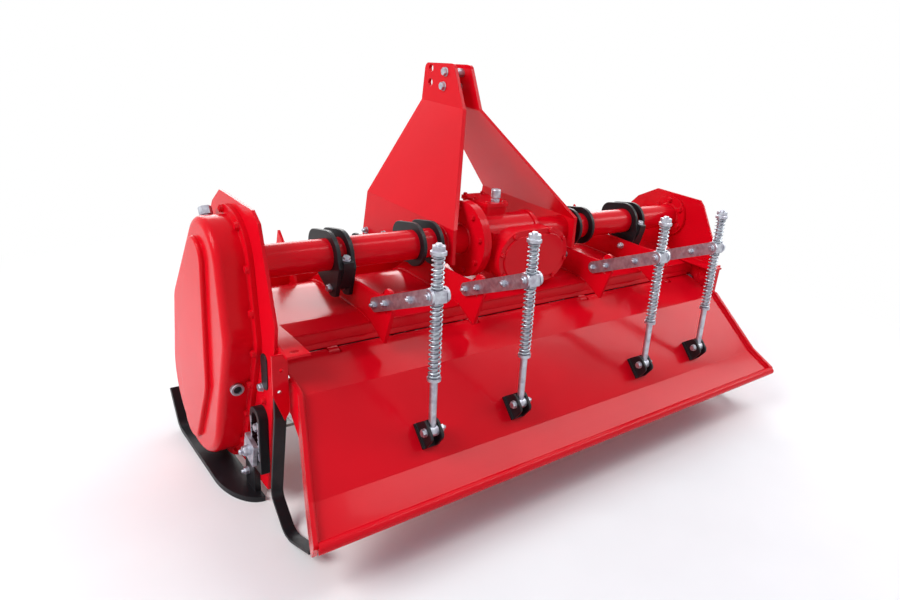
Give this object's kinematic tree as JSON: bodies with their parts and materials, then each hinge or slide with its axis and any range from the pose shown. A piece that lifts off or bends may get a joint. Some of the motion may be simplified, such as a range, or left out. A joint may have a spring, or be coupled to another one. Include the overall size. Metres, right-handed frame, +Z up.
{
  "type": "rotary tiller",
  "caption": "Tractor-mounted rotary tiller: gearbox on a cross tube, side gear drive, tined rotor under a hood, and a hinged trailing board held by sprung rods",
  "frame": {"origin": "on the floor under the middle of the machine's box, parked on its skids and legs", "axes": "X across the machine to the right seen from behind, Y forward to the tractor, Z up"},
  "size_m": [1.95, 1.0869, 1.139],
  "materials": {
    "red_paint": "gloss red paint",
    "black_paint": "satin black paint",
    "zinc_plate": "zinc-plated steel"
  },
  "bodies": {
    "frame": {"tube_left": "red_paint", "tube_right": "red_paint", "gearbox_housing": "red_paint", "gearbox_cover": "red_paint", "gearbox_lid": "red_paint", "mast_left": "red_paint", "mast_right": "red_paint", "mast_spacers": "zinc_plate", "clamp_left": "black_paint", "clamp_right": "black_paint", "hitch_left": "black_paint", "hitch_right": "black_paint", "hood": "red_paint", "hood_ribs": "red_paint", "front_gussets": "red_paint", "rear_beam": "red_paint", "hinge_rod": "zinc_plate", "spring_bars": "zinc_plate", "side_plate_left": "red_paint", "side_plate_right": "red_paint", "gear_case": "red_paint", "bearing_housing": "red_paint", "skid_left": "black_paint", "skid_right": "black_paint", "skid_adjuster_left": "black_paint", "skid_adjuster_right": "black_paint", "skid_clamp_left": "zinc_plate", "skid_clamp_right": "zinc_plate", "bracket_left": "red_paint", "bracket_right": "red_paint", "rear_leg_left": "black_paint", "rear_leg_right": "black_paint"},
    "rotor": {"rotor": "black_paint"},
    "pto": {"pto_shaft": "zinc_plate"},
    "board": {"trailing_board": "red_paint", "board_end_left": "red_paint", "board_end_right": "red_paint", "board_clevises": "black_paint"},
    "swivel_1": {"swivel_1": "zinc_plate", "upper_spring_1": "zinc_plate"},
    "rod_1": {"spring_rod_1": "zinc_plate", "lower_spring_1": "zinc_plate"},
    "swivel_2": {"swivel_2": "zinc_plate", "upper_spring_2": "zinc_plate"},
    "rod_2": {"spring_rod_2": "zinc_plate", "lower_spring_2": "zinc_plate"},
    "swivel_3": {"swivel_3": "zinc_plate", "upper_spring_3": "zinc_plate"},
    "rod_3": {"spring_rod_3": "zinc_plate", "lower_spring_3": "zinc_plate"},
    "swivel_4": {"swivel_4": "zinc_plate", "upper_spring_4": "zinc_plate"},
    "rod_4": {"spring_rod_4": "zinc_plate", "lower_spring_4": "zinc_plate"}
  },
  "joints": [
    {"name": "rotor_spin", "type": "hinge", "parent": "frame", "child": "rotor", "pos_m": [0.005, 0.1675, 0.27], "axis": [-1, 0, 0], "continuous": true},
    {"name": "pto_spin", "type": "hinge", "parent": "frame", "child": "pto", "pos_m": [0.005, 0.2225, 0.64], "axis": [0, 1, 0], "continuous": true},
    {"name": "board_lift", "type": "hinge", "parent": "frame", "child": "board", "pos_m": [0.005, -0.1275, 0.424], "axis": [-1, 0, 0], "range_deg": [0, 22]},
    {"name": "swivel_1_turn", "type": "hinge", "parent": "frame", "child": "swivel_1", "pos_m": [-0.563, -0.4005, 0.662], "axis": [-1, 0, 0], "range_deg": [0, 7.31]},
    {"name": "rod_1_slide", "type": "slide", "parent": "swivel_1", "child": "rod_1", "axis": [0, 0.0465, 0.9989], "range_m": [0, 0.11449], "deforming": ["lower_spring_1"]},
    {"name": "swivel_2_turn", "type": "hinge", "parent": "frame", "child": "swivel_2", "pos_m": [-0.265, -0.4005, 0.662], "axis": [-1, 0, 0], "range_deg": [0, 7.31]},
    {"name": "rod_2_slide", "type": "slide", "parent": "swivel_2", "child": "rod_2", "axis": [0, 0.0465, 0.9989], "range_m": [0, 0.11449], "deforming": ["lower_spring_2"]},
    {"name": "swivel_3_turn", "type": "hinge", "parent": "frame", "child": "swivel_3", "pos_m": [0.275, -0.4005, 0.662], "axis": [-1, 0, 0], "range_deg": [0, 7.31]},
    {"name": "rod_3_slide", "type": "slide", "parent": "swivel_3", "child": "rod_3", "axis": [0, 0.0465, 0.9989], "range_m": [0, 0.11449], "deforming": ["lower_spring_3"]},
    {"name": "swivel_4_turn", "type": "hinge", "parent": "frame", "child": "swivel_4", "pos_m": [0.573, -0.4005, 0.662], "axis": [-1, 0, 0], "range_deg": [0, 7.31]},
    {"name": "rod_4_slide", "type": "slide", "parent": "swivel_4", "child": "rod_4", "axis": [0, 0.0465, 0.9989], "range_m": [0, 0.11449], "deforming": ["lower_spring_4"]}
  ],
  "couplings": [
    {"joint": "pto_spin", "follows": "rotor_spin", "ratio": 2.45},
    {"joint": "swivel_1_turn", "follows": "board_lift", "ratio": 0.33216},
    {"joint": "rod_1_slide", "follows": "board_lift", "m_per_rad": 0.29817},
    {"joint": "swivel_2_turn", "follows": "board_lift", "ratio": 0.33216},
    {"joint": "rod_2_slide", "follows": "board_lift", "m_per_rad": 0.29817},
    {"joint": "swivel_3_turn", "follows": "board_lift", "ratio": 0.33216},
    {"joint": "rod_3_slide", "follows": "board_lift", "m_per_rad": 0.29817},
    {"joint": "swivel_4_turn", "follows": "board_lift", "ratio": 0.33216},
    {"joint": "rod_4_slide", "follows": "board_lift", "m_per_rad": 0.29817}
  ]
}
